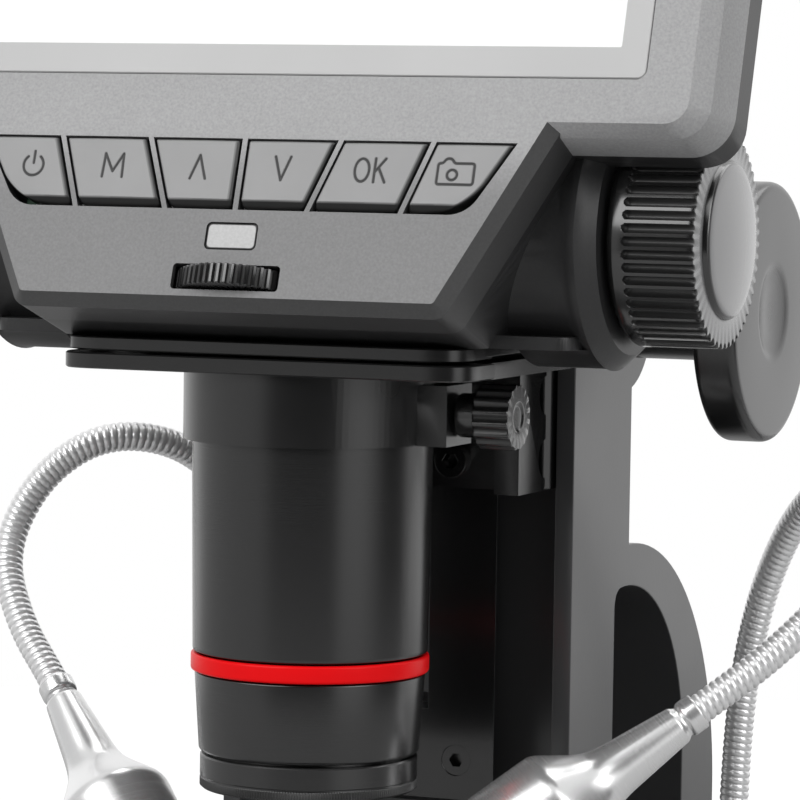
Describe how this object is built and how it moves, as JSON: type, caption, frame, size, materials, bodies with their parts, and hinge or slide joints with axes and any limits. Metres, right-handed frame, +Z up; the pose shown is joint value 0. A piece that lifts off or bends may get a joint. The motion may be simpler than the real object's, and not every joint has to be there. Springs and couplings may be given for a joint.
{
  "type": "digital microscope",
  "caption": "Inspection microscope with a tilted screen head over a vertical lens barrel, on a rack-and-pinion stand with a gooseneck lamp at each side.",
  "frame": {"origin": "on the table under the base pad, straight below the lens", "axes": "+Z up along the lens axis, the screen faces -Y, +X to the right of a person looking at the screen"},
  "size_m": [0.1456, 0.204, 0.249],
  "materials": {
    "battery_wrap": "film",
    "black_metal": "satin black anodised",
    "board": "solder mask",
    "brass": "machined",
    "bright_metal": "polished",
    "dark_plastic": "fine matte",
    "glass": "clear",
    "gloss_black": "gloss",
    "grey_casting": "fine satin paint",
    "key_plastic": "satin",
    "led": "phosphor",
    "pale_plastic": "fine matte",
    "red_metal": "gloss red",
    "rubber": "matte",
    "screen": "lit screen",
    "screen_glass": "clear",
    "silicone": "matte",
    "steel": "machined",
    "white_plate": "matte white"
  },
  "bodies": {
    "stand": {"base_pad": "rubber", "base_plate": "grey_casting", "stage_plate": "white_plate", "column": "grey_casting", "dovetail_rail": "steel", "rail_screws": "steel", "pinion_bushes": "brass", "lamp_sockets": "bright_metal"},
    "carriage": {"carriage_block": "black_metal", "carriage_rack": "brass", "bracket": "black_metal", "bracket_screws": "steel", "clamp_ring": "black_metal"},
    "height_drive": {"height_pinion_shaft": "steel", "height_knob_left": "black_metal", "height_knob_right": "black_metal"},
    "clamp_screw": {"clamp_thumbscrew": "bright_metal"},
    "head": {"lens_barrel": "black_metal", "red_ring": "red_metal", "filter_ring": "black_metal", "protective_glass": "glass", "barrel_flange": "black_metal", "flange_screws": "steel", "front_housing": "pale_plastic", "rear_housing": "dark_plastic", "lcd_window": "screen_glass", "lcd_panel": "screen", "main_board": "board", "battery": "battery_wrap", "side_ports": "steel", "housing_screws": "steel", "key_mat": "silicone", "key_board": "board", "ir_window": "dark_plastic", "ir_receiver": "gloss_black", "dimmer_pot": "dark_plastic", "focus_bushes": "brass"},
    "dimmer_wheel": {"dimmer_wheel": "dark_plastic"},
    "focus_drive": {"focus_shaft": "steel", "focus_knob_left": "gloss_black", "focus_knob_right": "gloss_black"},
    "lens_unit": {"lens_tube": "black_metal", "objective_lens": "glass", "sensor_board": "board", "focus_rack": "brass"},
    "lamp_left": {"gooseneck_left": "bright_metal", "lamp_head_left": "bright_metal", "lamp_led_left": "led", "lamp_lens_left": "glass"},
    "lamp_right": {"gooseneck_right": "bright_metal", "lamp_head_right": "bright_metal", "lamp_led_right": "led", "lamp_lens_right": "glass"},
    "key_power": {"key_power": "key_plastic"},
    "key_menu": {"key_menu": "key_plastic"},
    "key_down": {"key_down": "key_plastic"},
    "key_up": {"key_up": "key_plastic"},
    "key_ok": {"key_ok": "key_plastic"},
    "key_camera": {"key_camera": "key_plastic"}
  },
  "joints": [
    {"name": "carriage_slide", "type": "slide", "parent": "stand", "child": "carriage", "axis": [0, 0, 1], "range_m": [-0.035, 0.015]},
    {"name": "height_turn", "type": "hinge", "parent": "stand", "child": "height_drive", "pos_m": [0, 0.057, 0.1385], "axis": [1, 0, 0], "range_deg": [-144, 335]},
    {"name": "clamp_turn", "type": "hinge", "parent": "carriage", "child": "clamp_screw", "pos_m": [0.03, 0, 0.1245], "axis": [1, 0, 0], "range_deg": [0, 360]},
    {"name": "head_turn", "type": "hinge", "parent": "carriage", "child": "head", "pos_m": [0, 0, 0.13], "axis": [0, 0, -1], "range_deg": [-15, 15]},
    {"name": "dimmer_turn", "type": "hinge", "parent": "head", "child": "dimmer_wheel", "pos_m": [0, -0.02517, 0.1428], "axis": [0, 0.3132, 0.9497], "range_deg": [-135, 135]},
    {"name": "focus_turn", "type": "hinge", "parent": "head", "child": "focus_drive", "pos_m": [0, 0, 0.1513], "axis": [1, 0, 0], "range_deg": [-90, 90]},
    {"name": "lens_slide", "type": "slide", "parent": "head", "child": "lens_unit", "axis": [0, 0, 1], "range_m": [-0.0047, 0.0047]},
    {"name": "left_lamp_turn", "type": "hinge", "parent": "stand", "child": "lamp_left", "pos_m": [-0.04, 0.084, 0.02], "axis": [0, 0, 1], "range_deg": [-10, 4]},
    {"name": "right_lamp_turn", "type": "hinge", "parent": "stand", "child": "lamp_right", "pos_m": [0.04, 0.084, 0.02], "axis": [0, 0, -1], "range_deg": [-10, 4]},
    {"name": "key_power_press", "type": "slide", "parent": "head", "child": "key_power", "axis": [0, 0.9497, -0.3132], "range_m": [0, 0.0008], "stiffness_N_per_m": 800, "springref_m": -0.0005},
    {"name": "key_menu_press", "type": "slide", "parent": "head", "child": "key_menu", "axis": [0, 0.9497, -0.3132], "range_m": [0, 0.0008], "stiffness_N_per_m": 800, "springref_m": -0.0005},
    {"name": "key_down_press", "type": "slide", "parent": "head", "child": "key_down", "axis": [0, 0.9497, -0.3132], "range_m": [0, 0.0008], "stiffness_N_per_m": 800, "springref_m": -0.0005},
    {"name": "key_up_press", "type": "slide", "parent": "head", "child": "key_up", "axis": [0, 0.9497, -0.3132], "range_m": [0, 0.0008], "stiffness_N_per_m": 800, "springref_m": -0.0005},
    {"name": "key_ok_press", "type": "slide", "parent": "head", "child": "key_ok", "axis": [0, 0.9497, -0.3132], "range_m": [0, 0.0008], "stiffness_N_per_m": 800, "springref_m": -0.0005},
    {"name": "key_camera_press", "type": "slide", "parent": "head", "child": "key_camera", "axis": [0, 0.9497, -0.3132], "range_m": [0, 0.0008], "stiffness_N_per_m": 800, "springref_m": -0.0005}
  ],
  "couplings": [
    {"joint": "height_turn", "follows": "carriage_slide", "rad_per_m": -166.67},
    {"joint": "focus_turn", "follows": "lens_slide", "rad_per_m": 333.33}
  ]
}
